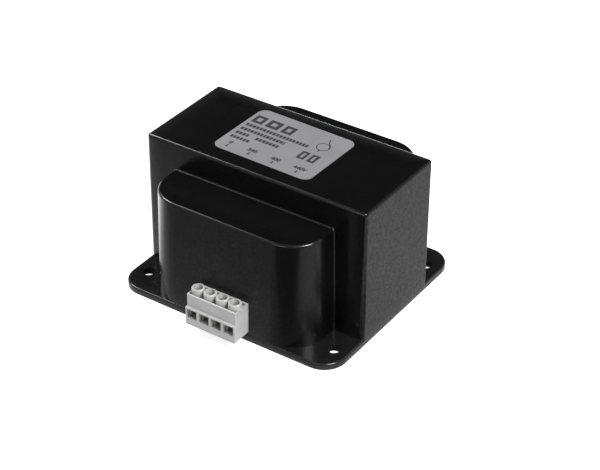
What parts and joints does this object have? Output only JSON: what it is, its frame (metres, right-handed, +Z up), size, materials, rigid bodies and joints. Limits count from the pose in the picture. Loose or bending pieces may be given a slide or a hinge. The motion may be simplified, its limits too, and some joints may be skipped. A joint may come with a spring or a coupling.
{
  "type": "step-down transformer",
  "caption": "Potted step-down transformer in a black moulded box with rounded coil bulges, a flange with fixing holes, a rating label and a grey screw terminal block low on its front.",
  "frame": {"origin": "centre of the four fixing holes, on the flange's underside", "axes": "+Z up, square to the mounting face; +X along the box's length, to the right when facing the terminal block; +Y to the back, away from the terminal block"},
  "size_m": [0.0886, 0.0866, 0.0525],
  "materials": {
    "housing_plastic": "moulded black plastic, satin with a fine texture",
    "resin": "cast black resin, slightly glossy",
    "core_steel": "varnished laminations",
    "bobbin_plastic": "natural glass-filled nylon",
    "copper_wire": "enamelled copper",
    "tape": "yellow polyester film",
    "terminal_plastic": "moulded light grey plastic, satin",
    "label_foil": "satin silver film with black print",
    "lead_insulation": "smooth insulation",
    "tinned_brass": "tinned",
    "clamp_steel": "zinc plated, dulled",
    "screw_steel": "zinc plated"
  },
  "bodies": {
    "transformer": {"housing": "housing_plastic", "potting_resin": "resin", "e_laminations": "core_steel", "i_laminations": "core_steel", "bobbin": "bobbin_plastic", "common_winding": "copper_wire", "series_winding": "copper_wire", "top_winding": "copper_wire", "inner_tape": "tape", "middle_tape": "tape", "outer_tape": "tape", "terminal_body": "terminal_plastic", "rating_label": "label_foil", "lead_wire_1": "lead_insulation", "contact_bar_1": "tinned_brass", "lead_wire_2": "lead_insulation", "contact_bar_2": "tinned_brass", "lead_wire_3": "lead_insulation", "contact_bar_3": "tinned_brass", "lead_wire_4": "lead_insulation", "contact_bar_4": "tinned_brass"},
    "screw_1": {"terminal_screw_1": "screw_steel"},
    "clamp_1": {"clamp_cage_1": "clamp_steel"},
    "screw_2": {"terminal_screw_2": "screw_steel"},
    "clamp_2": {"clamp_cage_2": "clamp_steel"},
    "screw_3": {"terminal_screw_3": "screw_steel"},
    "clamp_3": {"clamp_cage_3": "clamp_steel"},
    "screw_4": {"terminal_screw_4": "screw_steel"},
    "clamp_4": {"clamp_cage_4": "clamp_steel"}
  },
  "joints": [
    {"name": "screw_1_turn", "type": "hinge", "parent": "transformer", "child": "screw_1", "pos_m": [-0.00655, -0.04292, 0.0157], "axis": [0, 0, -1], "range_deg": [0, 1800]},
    {"name": "clamp_1_lift", "type": "slide", "parent": "transformer", "child": "clamp_1", "axis": [0, 0, 1], "range_m": [0, 0.00225]},
    {"name": "screw_2_turn", "type": "hinge", "parent": "transformer", "child": "screw_2", "pos_m": [-0.00155, -0.04292, 0.0157], "axis": [0, 0, -1], "range_deg": [0, 1800]},
    {"name": "clamp_2_lift", "type": "slide", "parent": "transformer", "child": "clamp_2", "axis": [0, 0, 1], "range_m": [0, 0.00225]},
    {"name": "screw_3_turn", "type": "hinge", "parent": "transformer", "child": "screw_3", "pos_m": [0.00345, -0.04292, 0.0157], "axis": [0, 0, -1], "range_deg": [0, 1800]},
    {"name": "clamp_3_lift", "type": "slide", "parent": "transformer", "child": "clamp_3", "axis": [0, 0, 1], "range_m": [0, 0.00225]},
    {"name": "screw_4_turn", "type": "hinge", "parent": "transformer", "child": "screw_4", "pos_m": [0.00845, -0.04292, 0.0157], "axis": [0, 0, -1], "range_deg": [0, 1800]},
    {"name": "clamp_4_lift", "type": "slide", "parent": "transformer", "child": "clamp_4", "axis": [0, 0, 1], "range_m": [0, 0.00225]}
  ],
  "couplings": [
    {"joint": "screw_1_turn", "follows": "clamp_1_lift", "rad_per_m": 13963},
    {"joint": "screw_2_turn", "follows": "clamp_2_lift", "rad_per_m": 13963},
    {"joint": "screw_3_turn", "follows": "clamp_3_lift", "rad_per_m": 13963},
    {"joint": "screw_4_turn", "follows": "clamp_4_lift", "rad_per_m": 13963}
  ]
}
